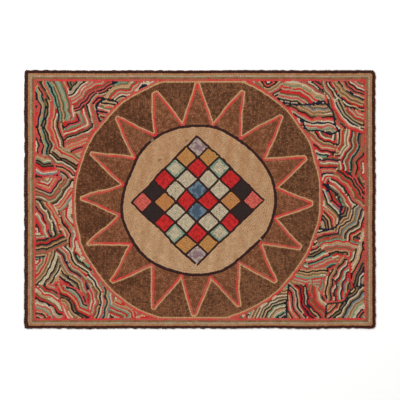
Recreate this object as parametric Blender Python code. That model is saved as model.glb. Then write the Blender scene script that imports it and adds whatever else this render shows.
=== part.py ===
"""A hand-hooked wool rug, lying flat.

Units are metres, with +Z up. X runs along the rug's long side and Y along its short side. The origin
is on the surface that the rug lies on, under its middle. The rug is one solid: its flat foundation,
the pile that stands on it, and the ribs of the straight rows of loops that border it.
"""

import math

import bmesh
import bpy
from mathutils import Vector

# The rug's size over its edge rows, and its thickness at the tops of the loops.
RUG_LENGTH = 1.016
RUG_WIDTH = 0.747
RUG_THICKNESS = 0.0082

# Each corner is rounded as the edge row turns there, by a different amount.
RADIUS_TOP_RIGHT = 0.0110
RADIUS_TOP_LEFT = 0.0075
RADIUS_BOTTOM_LEFT = 0.0045
RADIUS_BOTTOM_RIGHT = 0.0070
LEAST_RADIUS = 0.0012
CORNER_STEPS = 5

# The straight sides are cut into steps of about this length.
SIDE_STEP = 0.024

# The edge isn't straight: it wanders a little in long waves and is bumpy in short ones.
LONG_WAVES = 9
LONG_WAVE_DEPTH = 0.00035
SHORT_WAVES = 41
SHORT_WAVE_DEPTH = 0.00030

# Concentric rows of loops border the rug, each a low rib. The outermost, its edge, is the widest.
EDGE_ROW_WIDTH = 0.0084
INNER_ROWS = 4
ROW_WIDTH = 0.00585
RIB_HEIGHT = 0.0009

# The edge from below: the hemmed foundation, then the side of the edge row, which leans out.
HEM_INSET = 0.0014
HEM_HEIGHT = 0.0012
SIDE_HEIGHT = 0.0042
SHOULDER_INSET = 0.0011
SHOULDER_DROP = 0.0012

# Inside the border the pile is one field. Its rings shrink to these shares of its size.
FIELD_SHARES = (0.97, 0.78, 0.56, 0.32)

# The field rises and falls a little, because no two pulled loops are quite the same height.
FIELD_RISE = 0.00035
FIELD_WAVES_X = 3.0
FIELD_WAVES_Y = 2.0

WOOL_COLOUR = (0.16, 0.078, 0.042, 1.0)
WOOL_ROUGHNESS = 0.95


def rounded_corner(centre, radius, start_angle):
    """Points and outward directions along a quarter circle, anticlockwise from start_angle."""
    found = []
    for step in range(CORNER_STEPS + 1):
        angle = start_angle + math.pi / 2 * step / CORNER_STEPS
        out = Vector((math.cos(angle), math.sin(angle)))
        found.append((centre + radius * out, out))
    return found


def straight_side(start, end, out):
    """Points and outward directions between two corners, leaving out the corners' own points."""
    # The count comes from the rug's size, so that each ring has as many points as the next.
    length = RUG_LENGTH if abs(end.x - start.x) > abs(end.y - start.y) else RUG_WIDTH
    steps = round(length / SIDE_STEP)
    return [(start.lerp(end, step / steps), out) for step in range(1, steps)]


def rounded_rectangle(inset):
    """The rug's outline moved in by inset, as pairs of a point and the direction out of the rug."""
    half_x = RUG_LENGTH / 2 - inset
    half_y = RUG_WIDTH / 2 - inset
    corners = (
        (1, 1, RADIUS_TOP_RIGHT),
        (-1, 1, RADIUS_TOP_LEFT),
        (-1, -1, RADIUS_BOTTOM_LEFT),
        (1, -1, RADIUS_BOTTOM_RIGHT),
    )
    arcs = []
    for quarter, (side_x, side_y, full_radius) in enumerate(corners):
        radius = max(full_radius - inset, LEAST_RADIUS)
        centre = Vector((side_x * (half_x - radius), side_y * (half_y - radius)))
        arcs.append(rounded_corner(centre, radius, quarter * math.pi / 2))
    outline = []
    for quarter, arc in enumerate(arcs):
        following = arcs[(quarter + 1) % len(arcs)]
        outline += arc
        outline += straight_side(arc[-1][0], following[0][0], arc[-1][1])
    return outline


def edge_waver(share):
    """How far the edge stands out at a share of the way round the rug."""
    turn = 2 * math.pi * share
    long_wave = math.sin(LONG_WAVES * turn) + 0.6 * math.sin(2 * LONG_WAVES * turn + 1.3)
    short_wave = math.sin(SHORT_WAVES * turn + 0.4)
    return LONG_WAVE_DEPTH * long_wave + SHORT_WAVE_DEPTH * short_wave


def field_height(x, y):
    """The pile's height over the surface at a place inside the border."""
    along = math.sin(2 * math.pi * FIELD_WAVES_X * x / RUG_LENGTH + 0.7)
    across = math.sin(2 * math.pi * FIELD_WAVES_Y * y / RUG_WIDTH + 2.1)
    return RUG_THICKNESS - RIB_HEIGHT / 2 + FIELD_RISE * along * across


def ring_points(inset, height):
    """One closed ring round the rug, moved in by inset, with the same waver as the edge."""
    outline = rounded_rectangle(inset)
    points = []
    for index, (place, out) in enumerate(outline):
        moved = place + edge_waver(index / len(outline)) * out
        points.append(Vector((moved.x, moved.y, height)))
    return points


def edge_rings():
    """The rings up the rug's side, from the surface to the top of the edge row."""
    hem_top = (HEM_INSET, HEM_HEIGHT)
    side = (0.0, SIDE_HEIGHT)
    shoulder = (SHOULDER_INSET, RUG_THICKNESS - SHOULDER_DROP)
    return [ring_points(*step) for step in ((HEM_INSET, 0.0), hem_top, side, shoulder)]


def border_rings():
    """A ring along each border row's crest and one in the groove inside it."""
    rings = []
    row_start = 0.0
    for width in [EDGE_ROW_WIDTH] + INNER_ROWS * [ROW_WIDTH]:
        row_end = row_start + width
        rings.append(ring_points((row_start + row_end) / 2, RUG_THICKNESS))
        rings.append(ring_points(row_end, RUG_THICKNESS - RIB_HEIGHT))
        row_start = row_end
    return rings


def field_rings(border_end):
    """Rings that shrink from the border's inner side towards the rug's middle."""
    rings = []
    for share in FIELD_SHARES:
        ring = [Vector((p.x * share, p.y * share, 0.0)) for p in border_end]
        for point in ring:
            point.z = field_height(point.x, point.y)
        rings.append(ring)
    return rings


def centred(rings):
    """The rings, moved so that the middle of their box is over the origin."""
    points = [point for ring in rings for point in ring]
    middle_x = (min(p.x for p in points) + max(p.x for p in points)) / 2
    middle_y = (min(p.y for p in points) + max(p.y for p in points)) / 2
    shift = Vector((middle_x, middle_y, 0.0))
    return [[point - shift for point in ring] for ring in rings]


def bridge(mesh, lower, upper):
    """Faces between two rings of the same number of points."""
    count = len(lower)
    for index in range(count):
        after = (index + 1) % count
        mesh.faces.new((lower[index], lower[after], upper[after], upper[index]))


def build_rug():
    """The whole rug as one closed mesh."""
    outer = edge_rings() + border_rings()
    rings = centred(outer + field_rings(outer[-1]))
    mesh = bmesh.new()
    loops = [[mesh.verts.new(point) for point in ring] for ring in rings]
    for lower, upper in zip(loops, loops[1:]):
        bridge(mesh, lower, upper)
    mesh.faces.new(reversed(loops[0]))
    middle = mesh.verts.new((0.0, 0.0, field_height(0.0, 0.0)))
    for index, vert in enumerate(loops[-1]):
        after = loops[-1][(index + 1) % len(loops[-1])]
        mesh.faces.new((vert, after, middle))
    data = bpy.data.meshes.new("rug")
    mesh.to_mesh(data)
    mesh.free()
    data.shade_smooth()
    data.set_sharp_from_angle(angle=math.radians(50))
    return data


def wool_material():
    """Brown wool, the colour of most of the pile."""
    material = bpy.data.materials.new("wool")
    material.use_nodes = True
    shader = material.node_tree.nodes["Principled BSDF"]
    shader.inputs["Base Color"].default_value = WOOL_COLOUR
    shader.inputs["Roughness"].default_value = WOOL_ROUGHNESS
    shader.inputs["Metallic"].default_value = 0.0
    return material


def main():
    for old in list(bpy.data.objects):
        bpy.data.objects.remove(old)
    rug = bpy.data.objects.new("rug", build_rug())
    rug.data.materials.append(wool_material())
    bpy.context.scene.collection.objects.link(rug)


main()
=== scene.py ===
"""A hand-hooked wool rug, lying flat on a white floor and seen from straight above.

Wool strip is pulled up through burlap in rows of small loops, and every loop is modelled. The rows of
each motif are level lines of a field: the distance from the motif's outline, or a field that runs
through it. Sizes are metres, with the middle of the rug at the origin, +X to the right and +Y up the
picture.
"""

import math

import bpy
import numpy as np
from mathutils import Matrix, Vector
from mathutils.kdtree import KDTree


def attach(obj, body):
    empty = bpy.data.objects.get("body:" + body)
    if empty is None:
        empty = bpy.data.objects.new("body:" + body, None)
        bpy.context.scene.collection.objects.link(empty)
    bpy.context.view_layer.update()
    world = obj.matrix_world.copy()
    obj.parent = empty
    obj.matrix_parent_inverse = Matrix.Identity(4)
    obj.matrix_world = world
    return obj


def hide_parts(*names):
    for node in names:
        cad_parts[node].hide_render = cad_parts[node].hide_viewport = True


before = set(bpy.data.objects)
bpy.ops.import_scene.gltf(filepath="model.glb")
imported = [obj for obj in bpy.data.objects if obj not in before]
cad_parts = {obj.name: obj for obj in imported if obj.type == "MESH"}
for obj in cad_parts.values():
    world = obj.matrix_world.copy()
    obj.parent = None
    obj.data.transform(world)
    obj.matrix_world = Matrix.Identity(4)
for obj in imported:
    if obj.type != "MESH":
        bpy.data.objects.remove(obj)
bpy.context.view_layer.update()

# The rug's size over its edge rows, and the corner radii of its edge from the top right anticlockwise.
HALF_X = 0.5086
HALF_Y = 0.3739
CORNER_RADII = (0.0110, 0.0075, 0.0045, 0.0070)
LEAST_RADIUS = 0.0012

# The border: one wide dark edge, then four rows. Its sides differ a little.
SIDES = ("right", "top", "left", "bottom")
EDGE_WIDTHS = {"right": 0.0101, "top": 0.0091, "left": 0.0116, "bottom": 0.0077}
ROW_WIDTHS = {"right": 0.00555, "top": 0.00560, "left": 0.00522, "bottom": 0.00545}
OUTER_ROW_WIDTH = 0.0045

# The usual distance between rows of loops, and between the loops along a row.
ROW_PITCH = 0.0058
LOOP_PITCH = 0.0047

# Two thin rows outline the medallion and the star: coral, and tan on the side of the brown ground.
CORAL_WIDTH = 0.0058
TAN_WIDTH = 0.0046

# Round lines: the middle, the radius, and a slight oval, given as how much further out it stands at its
# ends and the turn of one end.
MEDALLION_CENTRE = (-0.007, 0.0015)
MEDALLION_RADIUS = 0.3585
MEDALLION_OVAL = (0.0055, 0.85)

RING_CENTRE = (-0.0065, -0.0035)
RING_RADIUS = 0.217
RING_OVAL = (0.004, 0.4)
RING_WIDTH = 0.0080

# A line drawn by hand also strays in bows, which are made up here: how deep the slowest can be, how many
# of each kind go round, and a seed.
RING_BOWS = (0.009, (3, 4, 5, 7), 41)
STAR_TIP_BOWS = (0.0015, (1, 2, 3), 59)
STAR_TURN_BOWS = (0.020, (1, 2, 3), 67)

# The star's tips end this far inside the medallion's circle. Its valleys stand on the ring, this far out.
STAR_POINTS = 16
STAR_TIP_GAP = 0.023
STAR_TIP_STRAY = 0.0012
STAR_TIP_WIDTH = 0.0090
STAR_VALLEY_GAP = 0.0078
STAR_TURN = -0.0175
STAR_TURN_STRAY = 0.007
STAR_SEED = 53

# Every drawn line also wavers, slowly and quickly: how deep and how long the waves are, and the lines'
# seeds. The diamond's seed is with its other values.
SLOW_WAVER = (0.0011, 0.12)
QUICK_WAVER = (0.0004, 0.026)
MEDALLION_HAND = 11
STAR_HAND = 23
RING_HAND = 37

# The chequered diamond's corners: top, right, bottom, left. It is a little askew.
DIAMOND_CORNERS = ((-0.0075, 0.186), (0.186, -0.0035), (-0.010, -0.190), (-0.1965, -0.009))
DIAMOND_CELLS = 6
DIAMOND_HAND = 47
GRID_LINE_WIDTH = 0.0060
CELL_SIZE = 0.0447
CELL_RINGS = 3
CELL_HEART = 0.03
LINE_POINTS = 160
MINT_RIM = 0.0036

# The patches of rows in the marbled corners are about this far apart, and longer along their rows.
# Their rows tend to run round the medallion, but stray from that by about this angle.
PATCH_SPACING = 0.074
PATCH_STRETCH = 1.42
PATCH_TURN_STRAY = 0.80
ROWS_IN_PATCH = 62
PATCH_HALF_LENGTH = 0.16
PATCH_POINTS = 81
PATCH_WINDOW = 1.8 * PATCH_SPACING
PATCH_TRIES = 6000
CORNER_SEED = 1

# The plan is worked out on a square grid of this step.
GRID_STEP = 0.002

# Loops of two rows stand at least this far apart. A loop covers this share of its row's width around
# it, and a place that none covers gets one more loop.
CLEARANCE = 0.0036
EDGE_CLEARANCE = 0.0030
COVERED_SHARE = 0.72
BARE_STEP = 0.001
BARE_MARGIN = 0.004

# How far rows keep from motifs that are hooked already.
CORAL_CLEAR = 0.0022
VALLEY_CLEAR = 0.0040
UPRIGHT_CLEAR = 0.0015
CORNER_CLEAR = 0.002

# Seeds of the plan's and the loops' own strays.
PLAN_SEED = 4127
LOOP_SEED = 88

# Loop sizes: the pile's height, the depth of its rounded tops, and how far loops stray. The feet come
# out under the burlap, where they are the backs of the rows.
PILE_TOP = 0.0080
PILE_WAVES = 0.0003
TOP_DEPTH = 0.0015
DISC_TOP_DEPTH = 0.0009
HEIGHT_STRAY = 0.00026
LOOP_FOOT = 0.0002
EDGE_FOOT = 0.0003
EDGE_WAIST = 0.0042

# A loop spreads until it presses on its neighbours, which it overlaps by this share.
PRESSED = 1.14
NEIGHBOURS = 9
WAIST_TURNS = np.arange(8) * math.pi / 4

# Flaws: the middle of each, how far it reaches, the wool that shows there and how strongly.
FLAWS = (
    ((-0.139, 0.171), (0.0075, 0.0045), "worn", 0.50),
    ((-0.040, 0.171), (0.003, 0.003), "umber", 0.60),
    ((-0.116, 0.114), (0.003, 0.003), "umber", 0.55),
    ((0.175, -0.113), (0.003, 0.003), "cream", 0.70),
    ((-0.044, -0.034), (0.003, 0.003), "cream", 0.75),
    ((0.246, -0.147), (0.013, 0.003), "edge_outer", 0.60),
    ((0.248, -0.156), (0.011, 0.003), "edge_outer", 0.50),
    ((0.146, 0.274), (0.003, 0.026), "star_light", 0.70),
    ((0.133, 0.280), (0.003, 0.020), "star_light", 0.50),
)

# The burlap under the pile, with its edge turned under at the back.
BURLAP_TOP = 0.0012
BURLAP_BOTTOM = 0.0005
HEM_DEPTH = 0.030
HEM_STEP = 0.0015
BURLAP_INSET = 0.0022
BURLAP_CORNER = 0.0080
BURLAP_CELLS = 24
BURLAP_COLOUR = "9a8058"


def colour(code):
    """A wool's colour as linear light, from six hexadecimal digits."""
    parts = [int(code[i:i + 2], 16) / 255 for i in (0, 2, 4)]
    return np.array([p / 12.92 if p <= 0.04045 else ((p + 0.055) / 1.055) ** 2.4 for p in parts])


WOOLS = {name: colour(code) for name, code in {
    "edge_outer": "4c261d",
    "edge_inner": "3f1f19",
    "ochre": "a8734a",
    "ochre_pink": "ab7956",
    "taupe": "9f866c",
    "taupe_green": "9f9375",
    "taupe_pink": "ad8e7a",
    "olive": "8a6646",
    "olive_green": "836845",
    "olive_brown": "84573c",
    "coral": "bd4c43",
    "coral_bright": "c63e3b",
    "coral_dull": "b25648",
    "tan_line": "bb8f65",
    "ground": "66412b",
    "ground_dark": "50311d",
    "ground_light": "7f5337",
    "star": "7a4b30",
    "star_dark": "6a3e25",
    "star_light": "8f5e41",
    "ring": "331c1b",
    "disc": "ae8763",
    "disc_light": "b99672",
    "disc_red": "a77a54",
    "grid": "331d1a",
    "lavender": "8b7274",
    "lavender_pale": "aa978a",
    "gold": "af8046",
    "ochre_gold": "b17846",
    "cream": "ad9e85",
    "oat": "a69276",
    "cream_pale": "b9aa8f",
    "mint": "6f9176",
    "mint_dim": "76907a",
    "mint_pale": "93a188",
    "red": "bd2b28",
    "red_dark": "ab2124",
    "black": "302523",
    "pink": "c85c50",
    "worn": "a08d78",
    "blue": "485867",
    "blue_pale": "647782",
    "navy": "1c202e",
    "bottle": "2a2d26",
    "sand": "b28a63",
    "moss": "766040",
    "umber": "6f4e34",
    "slate": "6f7d80",
    "sage": "7c8468",
    "ink": "241d1d",
    "pale": "c0ae91",
}.items()}


def ripple(x, y, wavelength, seed, stretch=(1.0, 1.0)):
    """Smooth noise over the rug, of about -2 to 2: plane waves in all directions, added up."""
    rng = np.random.default_rng(seed)
    waves = 9
    total = 0.0
    for _ in range(waves):
        angle = rng.uniform(0, 2 * math.pi)
        scale = rng.uniform(0.7, 1.5) / wavelength
        phase = rng.uniform(0, 2 * math.pi)
        along = x * math.cos(angle) / stretch[0] + y * math.sin(angle) / stretch[1]
        total = total + np.sin(2 * math.pi * scale * along + phase)
    return total / math.sqrt(waves / 2)


def by_hand(x, y, seed):
    """Drawn lines waver a little: the place that stands for (x, y)."""
    slow_depth, slow = SLOW_WAVER
    quick_depth, quick = QUICK_WAVER
    return (
        x + slow_depth * ripple(x, y, slow, seed) + quick_depth * ripple(x, y, quick, seed + 1),
        y + slow_depth * ripple(x, y, slow, seed + 2) + quick_depth * ripple(x, y, quick, seed + 3),
    )


# Motifs as fields: distances in metres, positive on the inside

def border_inside(x, y):
    """Distance inside the border's last row."""
    depth = {side: EDGE_WIDTHS[side] + 4 * ROW_WIDTHS[side] for side in SIDES}
    return np.minimum.reduce([
        HALF_X - depth["right"] - x,
        HALF_Y - depth["top"] - y,
        HALF_X - depth["left"] + x,
        HALF_Y - depth["bottom"] + y,
    ])


def oval(turn, shape):
    """How much further out than its circle an oval line stands at a turn."""
    depth, end = shape
    return depth * np.cos(2 * (turn - end))


def bowed(turn, bows):
    """How far a line drawn by hand stands out at a turn."""
    depth, counts, seed = bows
    rng = np.random.default_rng(seed)
    total = 0.0
    for count in counts:
        peak = rng.uniform(0, 2 * math.pi)
        total = total + depth / count * rng.uniform(0.5, 1.5) * np.cos(count * turn - peak)
    return total


def medallion_reach(turn):
    """How far the medallion's line is from its middle at a turn."""
    return MEDALLION_RADIUS + oval(turn, MEDALLION_OVAL)


def ring_reach(turn):
    """How far the ring's line is from its middle at a turn."""
    return RING_RADIUS + oval(turn, RING_OVAL) + bowed(turn, RING_BOWS)


def round_inside(x, y, centre, reach):
    """Distance inside a round line."""
    turn = np.arctan2(y - centre[1], x - centre[0])
    return reach(turn) - np.hypot(x - centre[0], y - centre[1])


def medallion_inside(x, y):
    """Distance inside the medallion: a circle that the border cuts flat at the top and bottom."""
    circle = round_inside(*by_hand(x, y, MEDALLION_HAND), MEDALLION_CENTRE, medallion_reach)
    return np.minimum(circle, border_inside(x, y))


def star_corners():
    """The star's corners in turn: each tip has two, because it is blunt, and each valley one."""
    rng = np.random.default_rng(STAR_SEED)
    corners = []
    for index in range(2 * STAR_POINTS):
        turn = math.pi / 2 + math.pi * index / STAR_POINTS
        turn += STAR_TURN + bowed(turn, STAR_TURN_BOWS) + STAR_TURN_STRAY * rng.normal()
        out = np.array([math.cos(turn), math.sin(turn)])
        if index % 2:
            corners.append(RING_CENTRE + (ring_reach(turn) + STAR_VALLEY_GAP) * out)
            continue
        radius = medallion_reach(turn) - STAR_TIP_GAP + bowed(turn, STAR_TIP_BOWS)
        radius += STAR_TIP_STRAY * rng.normal()
        half_width = STAR_TIP_WIDTH * rng.uniform(0.4, 1.5) / 2
        across = half_width * np.array([-out[1], out[0]])
        corners += [MEDALLION_CENTRE + radius * out - across, MEDALLION_CENTRE + radius * out + across]
    return [tuple(corner) for corner in corners]


def from_side(x, y, ax, ay, bx, by):
    """Distance from the straight line between two points."""
    side_x, side_y = bx - ax, by - ay
    share = np.clip(((x - ax) * side_x + (y - ay) * side_y) / (side_x ** 2 + side_y ** 2), 0, 1)
    return np.hypot(x - ax - share * side_x, y - ay - share * side_y)


def polygon_inside(x, y, corners):
    """Distance inside a polygon, given by its corners."""
    distance = np.full(np.shape(x), 1e3)
    inside = np.zeros(np.shape(x), dtype=bool)
    for (ax, ay), (bx, by) in zip(corners, corners[1:] + corners[:1]):
        distance = np.minimum(distance, from_side(x, y, ax, ay, bx, by))
        crosses = (ay > y) != (by > y)
        height = by - ay if by - ay else 1e-12
        inside ^= crosses & (x < ax + (y - ay) * (bx - ax) / height)
    return np.where(inside, distance, -distance)


def star_inside(x, y):
    hand_x, hand_y = by_hand(x, y, STAR_HAND)
    return polygon_inside(hand_x, hand_y, star_corners())


def ring_inside(x, y):
    """Distance inside the middle line of the dark ring round the disc."""
    return round_inside(*by_hand(x, y, RING_HAND), RING_CENTRE, ring_reach)


def diamond_inside(x, y):
    """Distance inside the diamond's outline, whose rows are moved by hand from their straight lines."""
    hand_x, hand_y = by_hand(x, y, DIAMOND_HAND)
    return polygon_inside(2 * x - hand_x, 2 * y - hand_y, list(DIAMOND_CORNERS))


def ground_inside(x, y):
    """Distance inside the brown ground, between the star and the medallion's outline."""
    return np.minimum(medallion_inside(x, y), -star_inside(x, y)) - TAN_WIDTH


def rays_inside(x, y):
    """Distance inside the star's brown."""
    return np.minimum(star_inside(x, y) - CORAL_WIDTH, -ring_inside(x, y) - RING_WIDTH / 2)


def disc_inside(x, y):
    """Distance inside the tan disc, between the ring and the diamond."""
    return np.minimum(ring_inside(x, y) - RING_WIDTH / 2, -diamond_inside(x, y) - GRID_LINE_WIDTH / 2)


def diamond_place(u, v):
    """The place at (u, v), in cells from the top corner: u towards the right one, v towards the left."""
    top, right, bottom, left = (np.array(corner) for corner in DIAMOND_CORNERS)
    u = np.asarray(u, dtype=float)[..., None] / DIAMOND_CELLS
    v = np.asarray(v, dtype=float)[..., None] / DIAMOND_CELLS
    return (1 - u) * (1 - v) * top + u * (1 - v) * right + u * v * bottom + (1 - u) * v * left


# Colours of the wools as they change from loop to loop

def shaded(dark, middle, light, share):
    """Between three wools: share runs from -1, all dark, to 1, all light."""
    share = np.clip(share, -1, 1)[:, None]
    towards = np.where(share < 0, WOOLS[dark], WOOLS[light])
    return WOOLS[middle] + (towards - WOOLS[middle]) * np.abs(share)


def in_turns(names, weights, noise):
    """Whole runs of one wool and then another, in the given shares, picked by smooth noise."""
    share = 1 / (1 + np.exp(-1.7 * noise))
    bounds = np.cumsum(weights) / sum(weights)
    index = np.minimum(np.searchsorted(bounds, share), len(names) - 1)
    return np.array([WOOLS[name] for name in names])[index]


def ground_wool(x, y, rng):
    """Dark brown, faded at the bottom, a little at the top and right, and darker and redder at the left."""
    faded = 0.76 * np.clip(-y / HALF_Y, 0, 1) ** 2 + 0.16 * np.clip(2 * y / HALF_Y - 1, 0, 1)
    faded = faded + 0.10 * np.clip(3 * x, 0, 1)
    left = np.clip(-3 * x, 0, 1)
    clouds = 0.20 * ripple(x, y, 0.034, 61, (0.45, 1.3)) + 0.18 * ripple(x, y, 0.11, 62)
    share = faded - 0.24 * left + clouds + 0.60 * rng.normal(size=len(x))
    redder = 1 + left[:, None] * (0.02, -0.06, -0.08)
    return redder * shaded("ground_dark", "ground", "ground_light", share)


def star_wool(x, y, rng):
    """Brown, a little faded at the top."""
    faded = 0.15 * np.clip(y / 0.2 - 0.6, 0, 1)
    clouds = 0.20 * ripple(x, y, 0.026, 71) + 0.18 * ripple(x, y, 0.09, 72)
    return shaded("star_dark", "star", "star_light", faded + clouds + 0.56 * rng.normal(size=len(x)))


def disc_wool(x, y, rng):
    """Tan in soft clouds, faded towards the bottom."""
    faded = 0.36 * np.clip(-y / 0.2, -0.5, 1)
    clouds = 0.24 * ripple(x, y, 0.060, 81, (0.6, 1.3)) + 0.12 * ripple(x, y, 0.022, 82)
    return shaded("disc_red", "disc", "disc_light", faded + clouds + 0.06 * rng.normal(size=len(x)))


def run_wool(names, weights, seed, wavelength=0.05):
    """A row's wool that changes from one run of loops to the next."""
    def pick(x, y, rng):
        return in_turns(names, weights, ripple(x, y, wavelength, seed))
    return pick


def one_wool(name):
    def pick(x, y, rng):
        return np.tile(WOOLS[name], (len(x), 1))
    return pick


# The plan: rows of loops in the order in which they are hooked

class Plan:
    """Every loop of the pile: its place, the way its row runs, its width, motif and colour."""

    def __init__(self):
        self.cells = {}
        self.places = []
        self.rows = []
        self.motifs = []
        self.widths = []
        self.colours = []
        self.outer = []
        self.row_count = 0
        self.rng = np.random.default_rng(PLAN_SEED)

    def crowded(self, x, y, row, clearance):
        """Whether a loop here would stand too near one that is there."""
        column, line = int(x // CLEARANCE), int(y // CLEARANCE)
        for near_column in range(column - 1, column + 2):
            for near_line in range(line - 1, line + 2):
                for other in self.cells.get((near_column, near_line), ()):
                    reach = clearance * (0.85 if self.rows[other] == row else 1.0)
                    if math.hypot(self.places[other][0] - x, self.places[other][1] - y) < reach:
                        return True
        return False

    def hook(self, x, y, angle, row, width, motif, wool, outer=False):
        if self.crowded(x, y, row, EDGE_CLEARANCE if outer else CLEARANCE):
            return
        self.cells.setdefault((int(x // CLEARANCE), int(y // CLEARANCE)), []).append(len(self.places))
        self.places.append((x, y, angle))
        self.rows.append(row)
        self.motifs.append(motif)
        self.widths.append(width)
        self.colours.append(wool)
        self.outer.append(outer)

    def hook_row(self, line, width, motif, wool, allowed=None, outer=False):
        """Hooks one row of loops along a line of points."""
        steps = np.hypot(*np.diff(line, axis=0).T)
        length = steps.sum()
        count = int(round(length / LOOP_PITCH))
        if count < 1:
            return
        so_far = np.concatenate([[0.0], np.cumsum(steps)])
        stray = self.rng.normal(size=count) * 0.06
        at = (np.arange(count) + 0.5 + stray) * length / count
        x, y = np.interp(at, so_far, line[:, 0]), np.interp(at, so_far, line[:, 1])
        ahead, behind = np.minimum(at + 0.002, length), np.maximum(at - 0.002, 0.0)
        along_x = np.interp(ahead, so_far, line[:, 0]) - np.interp(behind, so_far, line[:, 0])
        along_y = np.interp(ahead, so_far, line[:, 1]) - np.interp(behind, so_far, line[:, 1])
        angles = np.arctan2(along_y, along_x)
        colours = wool(x, y, self.rng)
        kept = np.ones(count, dtype=bool) if allowed is None else allowed(x, y)
        self.row_count += 1
        for index in np.flatnonzero(kept):
            self.hook(x[index], y[index], angles[index], self.row_count, width, motif, colours[index], outer)

    def hook_levels(self, field, levels, width, motif, wool, allowed=None):
        """Hooks a row along each level line of a field."""
        xs, ys, values = field
        for level in levels:
            for line in level_lines(values, level, xs, ys):
                self.hook_row(line, width, motif, wool, allowed)


def level_lines(values, level, xs, ys):
    """The lines on which a field on a grid has one value, as arrays of points."""
    above = values > level
    columns = values.shape[1]
    # A crossing is numbered by its grid edge: first the edges along x, then those along y.
    first_upright = values.size
    row, column = np.nonzero(~((above[:-1, :-1] == above[:-1, 1:])
                               & (above[:-1, :-1] == above[1:, :-1])
                               & (above[:-1, :-1] == above[1:, 1:])))
    if not len(row):
        return []
    corner = row * columns + column
    edges = (corner, first_upright + corner + 1, corner + columns, first_upright + corner)
    low_left, low_right = above[row, column], above[row, column + 1]
    high_left, high_right = above[row + 1, column], above[row + 1, column + 1]
    crossed = np.array([
        low_left != low_right, low_right != high_right, high_left != high_right, low_left != high_left,
    ])
    links = {}
    for cell in range(len(row)):
        ends = [int(edges[side][cell]) for side in range(4) if crossed[side][cell]]
        pairs = [ends] if len(ends) == 2 else [(ends[0], ends[3]), (ends[1], ends[2])]
        for start, end in pairs:
            links.setdefault(start, []).append(end)
            links.setdefault(end, []).append(start)

    def point(edge):
        upright = edge >= first_upright
        node = edge - first_upright if upright else edge
        line, place = divmod(node, columns)
        here = values[line, place]
        there = values[line + 1, place] if upright else values[line, place + 1]
        share = (level - here) / (there - here)
        if upright:
            return xs[place], ys[line] + share * (ys[line + 1] - ys[line])
        return xs[place] + share * (xs[place + 1] - xs[place]), ys[line]

    lines = []
    seen = set()
    ends_first = sorted(links, key=lambda edge: (len(links[edge]) != 1, edge))
    for start in ends_first:
        if start in seen:
            continue
        chain = [start]
        seen.add(start)
        while True:
            onward = [edge for edge in links[chain[-1]] if edge not in seen]
            if not onward:
                break
            chain.append(onward[0])
            seen.add(onward[0])
        if len(chain) > 2 and start in links[chain[-1]]:
            chain.append(start)
        if len(chain) > 1:
            lines.append(np.array([point(edge) for edge in chain]))
    return lines


def grid_field(function, low=(-HALF_X, -HALF_Y), high=(HALF_X, HALF_Y)):
    """A field's values on the plan's grid, with the grid's own lines."""
    xs = np.arange(low[0], high[0] + GRID_STEP, GRID_STEP)
    ys = np.arange(low[1], high[1] + GRID_STEP, GRID_STEP)
    return xs, ys, function(*np.meshgrid(xs, ys))


# Border

def border_line(depths, waver):
    """A closed line round the rug at a depth from each side, with the corners rounded."""
    right, top = HALF_X - depths["right"], HALF_Y - depths["top"]
    left, bottom = depths["left"] - HALF_X, depths["bottom"] - HALF_Y
    corners = ((right, top, 1, 1), (left, top, -1, 1), (left, bottom, -1, -1), (right, bottom, 1, -1))
    points = []
    for quarter, (x, y, side_x, side_y) in enumerate(corners):
        radius = max(CORNER_RADII[quarter] - min(depths.values()), LEAST_RADIUS)
        for angle in np.linspace(quarter, quarter + 1, 7) * math.pi / 2:
            points.append((
                x - side_x * radius + radius * math.cos(angle),
                y - side_y * radius + radius * math.sin(angle),
            ))
    points = np.array(points + points[:1])
    # Long straight stretches are cut up, so that they can waver.
    so_far = np.concatenate([[0.0], np.cumsum(np.hypot(*np.diff(points, axis=0).T))])
    at = np.union1d(so_far, np.arange(0, so_far[-1], 0.004))
    x, y = np.interp(at, so_far, points[:, 0]), np.interp(at, so_far, points[:, 1])
    return np.column_stack([
        x + waver * ripple(x, y, 0.030, 5) + 0.0004 * ripple(x, y, 0.20, 6),
        y + waver * ripple(x, y, 0.030, 7) + 0.0004 * ripple(x, y, 0.20, 8),
    ])


def hook_border(plan):
    wools = {
        "ochre": run_wool(("ochre", "ochre_pink"), (3, 2), 101),
        "taupe": run_wool(("taupe_green", "taupe", "taupe_pink"), (1, 2, 1), 102),
        "olive": run_wool(("olive_green", "olive", "olive_brown"), (1, 2, 2), 103),
        "coral": run_wool(("coral_dull", "coral", "coral_bright"), (1, 2, 1), 104),
    }
    middle = {side: OUTER_ROW_WIDTH / 2 for side in SIDES}
    plan.hook_row(border_line(middle, 0.00055), 0.0049, "border", one_wool("edge_outer"), outer=True)
    middle = {side: (OUTER_ROW_WIDTH + EDGE_WIDTHS[side]) / 2 for side in SIDES}
    plan.hook_row(border_line(middle, 0.00035), 0.0047, "border", one_wool("edge_inner"), outer=True)
    for index, name in enumerate(wools):
        middle = {side: EDGE_WIDTHS[side] + (index + 0.5) * ROW_WIDTHS[side] for side in SIDES}
        plan.hook_row(border_line(middle, 0.0002), ROW_PITCH, "border", wools[name])


# Medallion, star, ring and diamond

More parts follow.
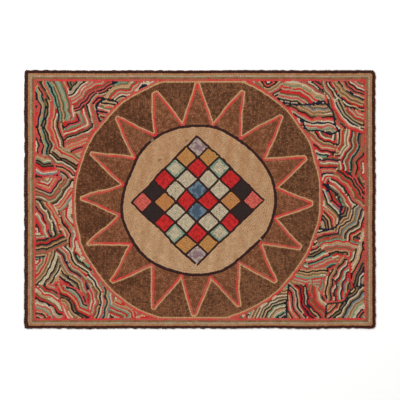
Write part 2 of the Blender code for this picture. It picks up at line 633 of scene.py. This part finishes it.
def hook_outlines(plan, medallion, star, ring):
    coral = run_wool(("coral_dull", "coral", "coral_bright"), (1, 2, 1), 111, 0.08)
    tan = one_wool("tan_line")
    plan.hook_levels(ring, [0.0], RING_WIDTH, "outlines", one_wool("ring"))
    plan.hook_levels(medallion, [-CORAL_WIDTH / 2], CORAL_WIDTH, "outlines", coral,
                     lambda x, y: border_inside(x, y) > CORAL_CLEAR)
    plan.hook_levels(medallion, [TAN_WIDTH / 2], TAN_WIDTH, "outlines", tan)
    plan.hook_levels(star, [CORAL_WIDTH / 2], CORAL_WIDTH, "outlines", coral,
                     lambda x, y: ring_inside(x, y) < -VALLEY_CLEAR)
    plan.hook_levels(star, [-TAN_WIDTH / 2], TAN_WIDTH, "outlines", tan)


def cell_name(column, line):
    """A cell's wool. The chart runs in rings round the diamond's middle."""
    last = DIAMOND_CELLS - 1
    ring = min(column, line, last - column, last - line)
    chart = (
        ("lavender", "gold", "minted", "red", "black", "pink"),
        ("red", "cream", "cream", "ochre_gold"),
        ("blue", "red"),
    )
    return chart[ring][abs(column - line)]


def cell_wools(name, seed):
    """How a cell's rows pick their wools, from its rim inwards."""
    mixed = {
        "lavender": (("lavender_pale", "lavender"), ("lavender", "lavender_pale"), ("lavender", "lavender")),
        "minted": (("mint_dim", "mint_pale"), ("cream_pale", "cream"), ("cream_pale", "cream")),
        "blue": (("blue_pale", "blue"), ("blue", "blue_pale"), ("blue", "blue")),
    }
    partners = {"red": "red_dark", "gold": "ochre_gold", "cream": "cream_pale", "pink": "coral_dull"}
    plain = 3 * ((name, partners.get(name, name)),)
    wavelength = 0.020 if name in mixed else 0.014
    return [run_wool(pair, (3, 2), seed, wavelength) for pair in mixed.get(name, plain)]


def diamond_line(u, v):
    """A line of the diamond, given in cells, as it is drawn by hand."""
    x, y = diamond_place(u, v).T
    return np.column_stack(by_hand(x, y, DIAMOND_HAND))


def hook_cell(plan, column, line):
    """One cell: square rows inside each other, and a few loops in the middle."""
    rim = GRID_LINE_WIDTH / 2
    pitch = (CELL_SIZE / 2 - rim) / (CELL_RINGS + 0.5)
    name = cell_name(column, line)
    wools = cell_wools(name, 500 + 10 * column + line)
    for ring in range(CELL_RINGS + 1):
        width = MINT_RIM if name == "minted" and ring == 0 else pitch
        inset = (rim + ring * pitch + width / 2) / CELL_SIZE
        low, high = (0.5 - CELL_HEART, 0.5 + CELL_HEART) if ring == CELL_RINGS else (inset, 1 - inset)
        u = column + np.array([low, high, high, low, low])
        v = line + np.array([low, low, high, high, low])
        plan.hook_row(diamond_line(u, v), width, "diamond", wools[min(ring, CELL_RINGS - 1)])


def hook_diamond(plan):
    ends = np.linspace(0, DIAMOND_CELLS, LINE_POINTS)
    for index in (0, DIAMOND_CELLS, *range(1, DIAMOND_CELLS)):
        fixed = np.full(LINE_POINTS, float(index))
        for u, v in ((fixed, ends), (ends, fixed)):
            plan.hook_row(diamond_line(u, v), GRID_LINE_WIDTH, "diamond", one_wool("grid"))
    for column in range(DIAMOND_CELLS):
        for line in range(DIAMOND_CELLS):
            hook_cell(plan, column, line)


def hook_fills(plan):
    """The plain grounds: rows that echo their outlines, and wavering upright rows in the dark brown."""
    ground, rays = grid_field(ground_inside), grid_field(rays_inside)
    echoes = np.arange(ROW_PITCH / 2, 0.13, ROW_PITCH)
    disc = grid_field(lambda x, y: disc_inside(x, y) + 0.0004 * ripple(x, y, 0.017, 205))
    plan.hook_levels(disc, echoes, ROW_PITCH, "disc", disc_wool)
    plan.hook_levels(rays, echoes, ROW_PITCH, "star", star_wool)
    plan.hook_levels(ground, echoes[:1], ROW_PITCH, "ground", ground_wool)
    upright = grid_field(lambda x, y: x + 0.009 * ripple(x, y, 0.20, 201) + 0.0016 * ripple(x, y, 0.05, 202))
    plan.hook_levels(upright, np.arange(-HALF_X, HALF_X, ROW_PITCH), ROW_PITCH, "ground", ground_wool,
                     lambda x, y: ground_inside(x, y) > ROW_PITCH + UPRIGHT_CLEAR)


# Marbled corners

# Wools of the marbled corners by kind, with how often each is taken.
MARBLE_WOOLS = {
    "light": (("oat", 4), ("pale", 5), ("sand", 7), ("disc_light", 1)),
    "dark": (("ink", 5), ("navy", 4), ("bottle", 3)),
    "red": (("coral", 5), ("red", 4), ("coral_dull", 4), ("red_dark", 1), ("pink", 1)),
    "middle": (("moss", 4), ("umber", 5), ("olive", 3)),
    "green": (("mint", 3), ("slate", 2), ("sage", 2)),
}

# How wide a row of each kind is, and what follows it in a patch, with how often.
MARBLE_WIDTHS = {"light": 0.0045, "dark": 0.0042, "red": 0.0044, "middle": 0.0041, "green": 0.0040}
NEXT_ROW = {
    "light": (("light", 6), ("dark", 30), ("red", 29), ("middle", 27), ("green", 8)),
    "dark": (("light", 46), ("red", 29), ("middle", 18), ("green", 7)),
    "red": (("light", 42), ("red", 8), ("dark", 26), ("middle", 20), ("green", 4)),
    "middle": (("light", 45), ("red", 26), ("dark", 20), ("green", 9)),
    "green": (("light", 38), ("red", 30), ("dark", 22), ("middle", 10)),
}
OUTLINE_KINDS = (("dark", 1), ("red", 1), ("none", 11))


def taken(choices, rng):
    """One of some weighted choices."""
    weights = np.array([weight for _, weight in choices], dtype=float)
    return choices[rng.choice(len(choices), p=weights / weights.sum())][0]


def marbled_wool(kind, rng):
    """A row's wool: mostly one, with runs of another of its kind."""
    pair = (taken(MARBLE_WOOLS[kind], rng), taken(MARBLE_WOOLS[kind], rng))
    return run_wool(pair, (4, 1), int(rng.integers(1, 99999)), 0.09)


def marbled_rows(rng):
    """The kinds of one patch's rows."""
    kinds = ["light"]
    while len(kinds) < ROWS_IN_PATCH:
        kinds.append(taken(NEXT_ROW[kinds[-1]], rng))
    return kinds


class Patch:
    """A part of a marbled corner: rows that echo its first row."""

    def __init__(self, centre, rng):
        self.centre = centre
        self.angle = math.atan2(centre[1], centre[0]) + PATCH_TURN_STRAY * rng.normal()
        self.form = taken((("wavy", 6), ("zigzag", 5), ("chevron", 2), ("arch", 3)), rng)
        self.along = np.linspace(-PATCH_HALF_LENGTH, PATCH_HALF_LENGTH, PATCH_POINTS)
        self.swing = self.first_row(rng)

    def first_row(self, rng):
        """How far the first row swings to the side along its length."""
        length, phase = rng.uniform(0.07, 0.13), rng.uniform(0, 1)
        wander = rng.uniform(0.0006, 0.0016) * np.sin(2 * math.pi * (self.along / 0.031 + phase))
        if self.form == "wavy":
            return wander + rng.uniform(0.003, 0.007) * np.sin(2 * math.pi * (self.along / length + phase))
        if self.form == "zigzag":
            sides = np.abs(2 * np.mod(self.along / length + phase, 1) - 1)
            return wander + rng.uniform(0.008, 0.020) * sides
        if self.form == "chevron":
            return wander + rng.uniform(0.5, 1.1) * np.abs(self.along)
        return wander + rng.uniform(2.0, 6.5) * self.along ** 2

    def turned(self, x, y):
        """A place as the patch sees it: across its rows and along them."""
        cos, sin = math.cos(self.angle), math.sin(self.angle)
        off_x, off_y = x - self.centre[0], y - self.centre[1]
        return off_x * cos + off_y * sin, off_y * cos - off_x * sin

    def gap(self, x, y):
        """How far the patch is from a place, less along its rows than across them."""
        across, down = self.turned(x, y)
        return np.hypot(across * PATCH_STRETCH, down / PATCH_STRETCH)

    def field(self, x, y):
        """Distance from the first row, negative on one side of it."""
        line_x = self.centre[0] + self.swing * math.cos(self.angle) - self.along * math.sin(self.angle)
        line_y = self.centre[1] + self.swing * math.sin(self.angle) + self.along * math.cos(self.angle)
        distance = np.full(x.shape, 1e3)
        for ax, ay, bx, by in zip(line_x, line_y, line_x[1:], line_y[1:]):
            distance = np.minimum(distance, from_side(x, y, ax, ay, bx, by))
        across, down = self.turned(x, y)
        beyond = np.sign(across - np.interp(down, self.along, self.swing))
        return beyond * distance + 0.0008 * ripple(x, y, 0.026, 311)


def corner_patches(rng):
    """The patches, spread over the corners."""
    centres = []
    for _ in range(PATCH_TRIES):
        x, y = rng.uniform(-0.47, 0.47), rng.uniform(-0.34, 0.34)
        outside = medallion_inside(np.array(x), np.array(y)) < 0.004
        if outside and all(math.hypot(x - a, y - b) > PATCH_SPACING for a, b in centres):
            centres.append((x, y))
    return [Patch(centre, rng) for centre in centres]


def inside_patch(patches, index, x, y):
    """About how far inside one patch a place is."""
    warped_x = x + 0.005 * ripple(x, y, 0.08, 301)
    warped_y = y + 0.005 * ripple(x, y, 0.08, 302)
    gaps = np.stack([patch.gap(warped_x, warped_y) for patch in patches])
    own = gaps[index].copy()
    gaps[index] = 1e3
    return (gaps.min(axis=0) - own) / 2


def near_patches(patches, index):
    """One patch and those round it, with it first."""
    x, y = patches[index].centre
    near = [p for p in patches if p is not patches[index]
            and math.hypot(p.centre[0] - x, p.centre[1] - y) < 4 * PATCH_SPACING]
    return [patches[index]] + near


def corner_motif(centre):
    side = "left" if centre[0] < 0 else "right"
    return ("top_" if centre[1] > 0 else "bottom_") + side


def hook_corners(plan):
    """The corners are marbled: patches of rows that echo each other, turned every way."""
    rng = np.random.default_rng(CORNER_SEED)
    patches = corner_patches(rng)
    outlines = [taken(OUTLINE_KINDS, rng) for _ in patches]

    def in_corner(x, y):
        outside = medallion_inside(x, y) < -CORAL_WIDTH - CORNER_CLEAR
        return outside & (border_inside(x, y) > CORNER_CLEAR)

    grids = []
    for index, patch in enumerate(patches):
        near = near_patches(patches, index)
        low = (patch.centre[0] - PATCH_WINDOW, patch.centre[1] - PATCH_WINDOW)
        high = (patch.centre[0] + PATCH_WINDOW, patch.centre[1] + PATCH_WINDOW)
        grids.append((near, low, high))
        if outlines[index] != "none":
            width = MARBLE_WIDTHS[outlines[index]]
            depth = grid_field(lambda x, y: inside_patch(near, 0, x, y), low, high)
            plan.hook_levels(depth, [width / 2], width, corner_motif(patch.centre),
                             marbled_wool(outlines[index], rng), in_corner)
    for index, patch in enumerate(patches):
        near, low, high = grids[index]
        inset = 0.0 if outlines[index] == "none" else MARBLE_WIDTHS[outlines[index]]
        grid = grid_field(patch.field, low, high)
        kinds = marbled_rows(rng)
        widths = np.array([MARBLE_WIDTHS[kind] for kind in kinds])
        levels = np.cumsum(widths) - (widths + widths.sum()) / 2
        for kind, level in zip(kinds, levels):
            plan.hook_levels(
                grid, [level], MARBLE_WIDTHS[kind], corner_motif(patch.centre), marbled_wool(kind, rng),
                lambda x, y: in_corner(x, y) & (inside_patch(near, 0, x, y) > inset))


# Bare places

def fill_bare_places(plan):
    """Hooks one more loop wherever the burlap would show."""
    step = BARE_STEP
    columns, lines = int(2 * HALF_X / step), int(2 * HALF_Y / step)
    covered = np.zeros((lines, columns), dtype=bool)
    places = np.array([place[:2] for place in plan.places])
    at = np.floor((places + (HALF_X, HALF_Y)) / step).astype(int)
    widths = np.array(plan.widths)
    for width in np.unique(widths):
        own = at[widths == width]
        radius = COVERED_SHARE * width / step
        reach = int(radius) + 1
        for off_x in range(-reach, reach + 1):
            for off_y in range(-reach, reach + 1):
                if math.hypot(off_x, off_y) <= radius:
                    line, column = own[:, 1] + off_y, own[:, 0] + off_x
                    covered[np.clip(line, 0, lines - 1), np.clip(column, 0, columns - 1)] = True
    line, column = np.nonzero(~covered)
    x, y = (column + 0.5) * step - HALF_X, (line + 0.5) * step - HALF_Y
    inside = (np.abs(x) < HALF_X - BARE_MARGIN) & (np.abs(y) < HALF_Y - BARE_MARGIN)
    x, y = x[inside], y[inside]
    tree = tree_of(plan.places)
    grounds = {
        "ground": (ground_inside(x, y) > 0, ground_wool(x, y, plan.rng)),
        "star": (rays_inside(x, y) > 0, star_wool(x, y, plan.rng)),
        "disc": (disc_inside(x, y) > 0, disc_wool(x, y, plan.rng)),
    }
    order = plan.rng.permutation(len(x))
    for index in order:
        _, neighbour, _ = tree.find((x[index], y[index], 0.0))
        motif, wool = plan.motifs[neighbour], plan.colours[neighbour]
        for name, (inside, colours) in grounds.items():
            if inside[index]:
                motif, wool = name, colours[index]
        plan.hook(x[index], y[index], plan.places[neighbour][2], -1, plan.widths[neighbour], motif, wool)


def show_flaws(plan):
    """Worn and discoloured places, which take on some of another wool's colour."""
    places = np.array(plan.places)[:, :2]
    for middle, reach, name, share in FLAWS:
        near = (((places - middle) / reach) ** 2).sum(axis=1) < 1
        for index in np.flatnonzero(near):
            plan.colours[index] = plan.colours[index] + share * (WOOLS[name] - plan.colours[index])


def hooked_plan():
    plan = Plan()
    medallion, star, ring = grid_field(medallion_inside), grid_field(star_inside), grid_field(ring_inside)
    hook_border(plan)
    hook_outlines(plan, medallion, star, ring)
    hook_diamond(plan)
    hook_fills(plan)
    hook_corners(plan)
    fill_bare_places(plan)
    show_flaws(plan)
    return plan


# Meshes

def pile_height(x, y):
    """The height of the loops' tops, which rises and falls a little over the rug."""
    return PILE_TOP + PILE_WAVES * ripple(x, y, 0.24, 401)


def tree_of(places):
    """A search tree of places in the plan."""
    tree = KDTree(len(places))
    for index, place in enumerate(places):
        tree.insert((place[0], place[1], 0.0), index)
    tree.balance()
    return tree


def room_round(places, turns, widths):
    """How far each loop can spread before it meets the next, in each direction of its waist.

    A loop of a wider row takes more of the room between the two.
    """
    tree = tree_of(places)
    gaps = np.empty((len(places), NEIGHBOURS, 2))
    shares = np.empty((len(places), NEIGHBOURS, 1))
    for index, (x, y) in enumerate(places):
        found = [other for _, other, _ in tree.find_n((x, y, 0.0), NEIGHBOURS + 1) if other != index]
        found = found[:NEIGHBOURS]
        gaps[index] = places[found] - (x, y)
        shares[index, :, 0] = widths[index] / (widths[index] + widths[found])
    directions = turns[:, None] + WAIST_TURNS
    facing = (gaps[:, :, None, 0] * np.cos(directions)[:, None]
              + gaps[:, :, None, 1] * np.sin(directions)[:, None])
    between = shares * (gaps ** 2).sum(axis=2)[:, :, None] / np.maximum(facing, 1e-5)
    return between.min(axis=1)


def loop_points(x, y, angle, width, top_depth, outer, rng):
    """Sixteen points for each loop: four at its foot, eight round its waist and four on its top."""
    count = len(x)
    along = LOOP_PITCH * 0.60 * (1 + 0.06 * rng.normal(size=count))[:, None]
    across = (width * 0.575 * (1 + 0.05 * rng.normal(size=count)))[:, None]
    top = pile_height(x, y) + HEIGHT_STRAY * rng.normal(size=count)
    lean = 0.00030 * rng.normal(size=(count, 2))
    turn = angle + 0.12 * rng.normal(size=count)
    cos, sin = np.cos(WAIST_TURNS), np.sin(WAIST_TURNS)
    free = ((np.abs(cos) / along) ** 2.6 + (np.abs(sin) / across) ** 2.6) ** (-1 / 2.6)
    room = PRESSED * room_round(np.column_stack([x, y]), turn, width)
    reach = np.maximum(np.minimum(room, free * np.where(outer, 1.0, 1.55)[:, None]), 0.0013)
    waist = np.stack([reach * cos, reach * sin], axis=-1)
    points = np.zeros((count, 16, 3))
    points[:, 0:4, :2] = 0.95 * waist[:, 1::2]
    points[:, 0:4, 2] = np.where(outer, EDGE_FOOT, LOOP_FOOT)[:, None]
    points[:, 4:12, :2] = waist
    points[:, 4:12, 2] = np.where(outer, EDGE_WAIST, top - top_depth)[:, None]
    points[:, 12:16, :2] = waist[:, 1::2] * (0.60, 0.72) + lean[:, None]
    points[:, 12:16, 2] = top[:, None]
    across_x = points[:, :, 0] * np.cos(turn)[:, None] - points[:, :, 1] * np.sin(turn)[:, None]
    across_y = points[:, :, 0] * np.sin(turn)[:, None] + points[:, :, 1] * np.cos(turn)[:, None]
    points[:, :, 0] = across_x + x[:, None]
    points[:, :, 1] = across_y + y[:, None]
    return points


def loop_faces():
    """The faces of one loop, by its points: the foot, the sides, the shoulders and the top."""
    foot = [(3, 2, 1, 0)]
    sides, shoulders = [], []
    for corner in range(4):
        after = (corner + 1) % 4
        waist = 4 + 2 * corner + 1
        between = 4 + (2 * corner + 2) % 8
        following = 4 + (2 * corner + 3) % 8
        sides += [(corner, between, waist), (corner, after, between), (after, following, between)]
        high, next_high = 12 + corner, 12 + after
        shoulders += [(waist, between, high), (between, next_high, high), (between, following, next_high)]
    return foot, sides, shoulders, [(12, 13, 14, 15)]


def loop_mesh(name, points, colours):
    """One mesh of many loops, with their colours and painted shade, and a flat map of the whole piece."""
    count = len(points)
    corner_lists, sizes = [], []
    start = np.arange(count)[:, None] * 16
    for group in loop_faces():
        flat = np.array(group)
        corner_lists.append((start[:, :, None] + flat[None]).reshape(-1))
        sizes.append(np.full(count * len(group), flat.shape[1]))
    corners, sizes = np.concatenate(corner_lists), np.concatenate(sizes)
    mesh = bpy.data.meshes.new(name)
    mesh.vertices.add(count * 16)
    mesh.vertices.foreach_set("co", points.reshape(-1))
    mesh.loops.add(len(corners))
    mesh.loops.foreach_set("vertex_index", corners)
    mesh.polygons.add(len(sizes))
    mesh.polygons.foreach_set("loop_start", np.concatenate([[0], np.cumsum(sizes)[:-1]]))
    mesh.update(calc_edges=True)
    mesh.shade_smooth()
    paint = mesh.color_attributes.new("wool", "FLOAT_COLOR", "POINT")
    # Painted shade: each loop's colour is darkened to 0.72 at its foot and 0.95 round its waist, where shade
    # falls between the loops.
    depth = np.concatenate([np.full(4, 0.72), np.full(8, 0.95), np.full(4, 1.0)])
    painted = np.ones((count, 16, 4))
    painted[:, :, :3] = colours[:, None, :] * depth[None, :, None]
    paint.data.foreach_set("color", painted.reshape(-1))
    add_flat_map(mesh, points.reshape(-1, 3), corners)
    return mesh


def add_flat_map(mesh, points, corners):
    """A map of the mesh as seen from above."""
    low, high = points.min(axis=0), points.max(axis=0)
    flat = (points[:, :2] - low[:2]) / (high[:2] - low[:2])
    layer = mesh.uv_layers.new(name="OFBake")
    layer.data.foreach_set("uv", (0.002 + 0.996 * flat[corners]).reshape(-1))


def link(name, mesh, material):
    piece = bpy.data.objects.new(name, mesh)
    mesh.materials.append(material)
    bpy.context.scene.collection.objects.link(piece)
    return piece


def pile_pieces(plan):
    rng = np.random.default_rng(LOOP_SEED)
    places = np.array(plan.places)
    widths, outer = np.array(plan.widths), np.array(plan.outer)
    colours = np.array(plan.colours) * (1 + 0.06 * rng.normal(size=(len(places), 1)))
    motifs = np.array(plan.motifs)
    top_depths = np.where(motifs == "disc", DISC_TOP_DEPTH, TOP_DEPTH)
    points = loop_points(*places.T, widths, top_depths, outer, rng)
    pieces = []
    corners = ["top_left", "top_right", "bottom_left", "bottom_right"]
    for motif in corners + ["border", "outlines", "ground", "star", "disc", "diamond"]:
        own = motifs == motif
        name = "loops_" + motif
        mesh = loop_mesh(name, points[own], np.clip(colours[own], 0, 1))
        pieces.append(link(name, mesh, wool_material("wool_" + motif)))
        print(name, own.sum(), "loops")
    return pieces


def burlap_lines(half):
    """Where the burlap's grid lines cross one axis: its edge, its rounded corner, its hem, its field."""
    inner = half - HEM_DEPTH
    side = np.array([inner + HEM_STEP, half - BURLAP_CORNER, half])
    return np.concatenate([-side[::-1], np.linspace(-inner, inner, BURLAP_CELLS + 1), side])


def burlap_piece():
    """The burlap: a thin sheet whose edge is turned under."""
    half_x, half_y = HALF_X - BURLAP_INSET, HALF_Y - BURLAP_INSET
    x, y = np.meshgrid(burlap_lines(half_x), burlap_lines(half_y))
    hem = np.minimum(half_x - np.abs(x), half_y - np.abs(y)) < HEM_DEPTH - HEM_STEP / 2
    past_x = np.maximum(np.abs(x) - half_x + BURLAP_CORNER, 0)
    past_y = np.maximum(np.abs(y) - half_y + BURLAP_CORNER, 0)
    cut = 1 - np.minimum(1, BURLAP_CORNER / np.maximum(np.hypot(past_x, past_y), 1e-9))
    x, y = x - np.sign(x) * past_x * cut, y - np.sign(y) * past_y * cut
    bottom = np.stack([x, y, np.where(hem, 0.0, BURLAP_BOTTOM)], axis=-1).reshape(-1, 3)
    lines, columns = x.shape
    number = np.arange(lines * columns).reshape(lines, columns)
    rim = np.concatenate([number[0, :-1], number[:-1, -1], number[-1, :0:-1], number[:0:-1, 0]])
    upper = bottom[rim] + (0, 0, BURLAP_TOP)
    squares = np.stack([number[:-1, :-1], number[1:, :-1], number[1:, 1:], number[:-1, 1:]], axis=-1)
    faces = [tuple(square) for square in squares.reshape(-1, 4).tolist()]
    first = len(bottom)
    count = len(rim)
    for index in range(count):
        after = (index + 1) % count
        faces.append((int(rim[index]), int(rim[after]), first + after, first + index))
    faces.append(tuple(range(first, first + count)))
    points = np.concatenate([bottom, upper])
    mesh = bpy.data.meshes.new("burlap")
    mesh.from_pydata(points.tolist(), [], faces)
    mesh.update()
    corners = np.empty(len(mesh.loops), dtype=int)
    mesh.loops.foreach_get("vertex_index", corners)
    add_flat_map(mesh, points, corners)
    return link("burlap", mesh, burlap_material())


# Materials

def shader_tree(name):
    material = bpy.data.materials.new(name)
    material.use_nodes = True
    tree = material.node_tree
    return material, tree, tree.nodes["Principled BSDF"]


def add_node(tree, kind, **values):
    node = tree.nodes.new(kind)
    for key, value in values.items():
        setattr(node, key, value)
    return node


def set_inputs(node, values):
    for name, value in values.items():
        node.inputs[name].default_value = value


def noise(tree, place, scale, detail=2.0, roughness=0.5):
    node = add_node(tree, "ShaderNodeTexNoise")
    set_inputs(node, {"Scale": scale, "Detail": detail, "Roughness": roughness})
    tree.links.new(place, node.inputs["Vector"])
    return node.outputs["Fac"]


def in_range(tree, value, low, high):
    node = add_node(tree, "ShaderNodeMapRange")
    set_inputs(node, {"From Min": 0.3, "From Max": 0.7, "To Min": low, "To Max": high})
    tree.links.new(value, node.inputs["Value"])
    return node.outputs["Result"]


def add_bump(tree, shader, height, strength, distance):
    """Fine relief on a shader."""
    bump = add_node(tree, "ShaderNodeBump")
    set_inputs(bump, {"Strength": strength, "Distance": distance})
    tree.links.new(height, bump.inputs["Height"])
    tree.links.new(bump.outputs["Normal"], shader.inputs["Normal"])


def wool_material(name):
    """Matte wool strip: the loops' colours with their painted shade, flecked by the fibre, with a soft fuzz.
    """
    material, tree, shader = shader_tree(name)
    place = add_node(tree, "ShaderNodeTexCoord").outputs["Object"]
    # The wool attribute holds each loop's colour with painted shade at its waist and foot.
    wool = add_node(tree, "ShaderNodeAttribute", attribute_name="wool")
    flecks = in_range(tree, noise(tree, place, 1100.0, 3.0, 0.6), 0.84, 1.14)
    tint = add_node(tree, "ShaderNodeVectorMath", operation="SCALE")
    tree.links.new(wool.outputs["Color"], tint.inputs[0])
    tree.links.new(flecks, tint.inputs["Scale"])
    tree.links.new(tint.outputs["Vector"], shader.inputs["Base Color"])
    tree.links.new(in_range(tree, noise(tree, place, 600.0), 0.84, 0.98), shader.inputs["Roughness"])
    set_inputs(shader, {"Sheen Weight": 0.04, "Sheen Roughness": 0.5, "Specular IOR Level": 0.12})
    add_bump(tree, shader, noise(tree, place, 1500.0, 4.0, 0.65), 0.35, 0.0005)
    return material


def burlap_material():
    """Plain jute weave, with threads both ways."""
    material, tree, shader = shader_tree("burlap")
    place = add_node(tree, "ShaderNodeTexCoord").outputs["Object"]
    both = add_node(tree, "ShaderNodeMath", operation="MULTIPLY")
    for axis, product_input in zip(("X", "Y"), both.inputs):
        threads = add_node(tree, "ShaderNodeTexWave", bands_direction=axis)
        set_inputs(threads, {"Scale": 160.0, "Distortion": 1.2})
        tree.links.new(place, threads.inputs["Vector"])
        tree.links.new(threads.outputs["Fac"], product_input)
    height = both.outputs["Value"]
    # Painted shade: the colour follows the weave's height and is darker where it is low, between the
    # threads.
    tint = add_node(tree, "ShaderNodeVectorMath", operation="SCALE")
    tint.inputs[0].default_value = colour(BURLAP_COLOUR)
    tree.links.new(in_range(tree, height, 0.72, 1.08), tint.inputs["Scale"])
    tree.links.new(tint.outputs["Vector"], shader.inputs["Base Color"])
    tree.links.new(in_range(tree, noise(tree, place, 500.0), 0.85, 0.98), shader.inputs["Roughness"])
    shader.inputs["Specular IOR Level"].default_value = 0.25
    add_bump(tree, shader, height, 0.6, 0.0006)
    return material


# Studio

def studio_floor():
    mesh = bpy.data.meshes.new("studio_floor")
    reach = 30.0
    mesh.from_pydata([(-reach, -reach, 0), (reach, -reach, 0), (reach, reach, 0), (-reach, reach, 0)],
                     [], [(0, 1, 2, 3)])
    material, tree, shader = shader_tree("studio_paper")
    place = add_node(tree, "ShaderNodeTexCoord").outputs["Object"]
    shader.inputs["Base Color"].default_value = (0.95, 0.95, 0.945, 1.0)
    tree.links.new(in_range(tree, noise(tree, place, 3.0), 0.80, 0.90), shader.inputs["Roughness"])
    shader.inputs["Specular IOR Level"].default_value = 0.1
    floor = link("studio_floor", mesh, material)
    floor.location.z = -0.0004


def soft_light(name, place, size, power):
    data = bpy.data.lights.new(name, "AREA")
    data.energy = power
    data.size = size
    light = bpy.data.objects.new(name, data)
    light.location = place
    light.rotation_euler = (-Vector(place)).to_track_quat("-Z", "Y").to_euler()
    bpy.context.scene.collection.objects.link(light)


def studio_light():
    soft_light("key_light", (-0.8, 1.0, 3.3), 1.5, 90.5)
    soft_light("fill_light", (1.0, -0.8, 3.5), 2.2, 36.0)
    world = bpy.data.worlds.new("studio")
    world.use_nodes = True
    sky = world.node_tree.nodes["Background"]
    sky.inputs["Color"].default_value = (1.0, 1.0, 1.0, 1.0)
    sky.inputs["Strength"].default_value = 0.30
    bpy.context.scene.world = world
    bpy.context.scene.view_settings.view_transform = "Standard"


def camera_above():
    """A long lens straight above. The rug's middle is a hair off the middle of the picture."""
    data = bpy.data.cameras.new("camera")
    data.lens = 100.0
    data.sensor_width = 36.0
    data.clip_start = 0.1
    data.clip_end = 100.0
    picture_width = 1.157
    camera = bpy.data.objects.new("camera", data)
    camera.location = (0.0003, -0.0017, PILE_TOP + picture_width * data.lens / data.sensor_width)
    bpy.context.scene.collection.objects.link(camera)
    bpy.context.scene.camera = camera


# Everything together

def main():
    camera_above()
    studio_floor()
    studio_light()
    plan = hooked_plan()
    pile = pile_pieces(plan)
    burlap = burlap_piece()
    for piece in pile + [burlap]:
        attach(piece, "root")
    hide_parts("rug")


main()
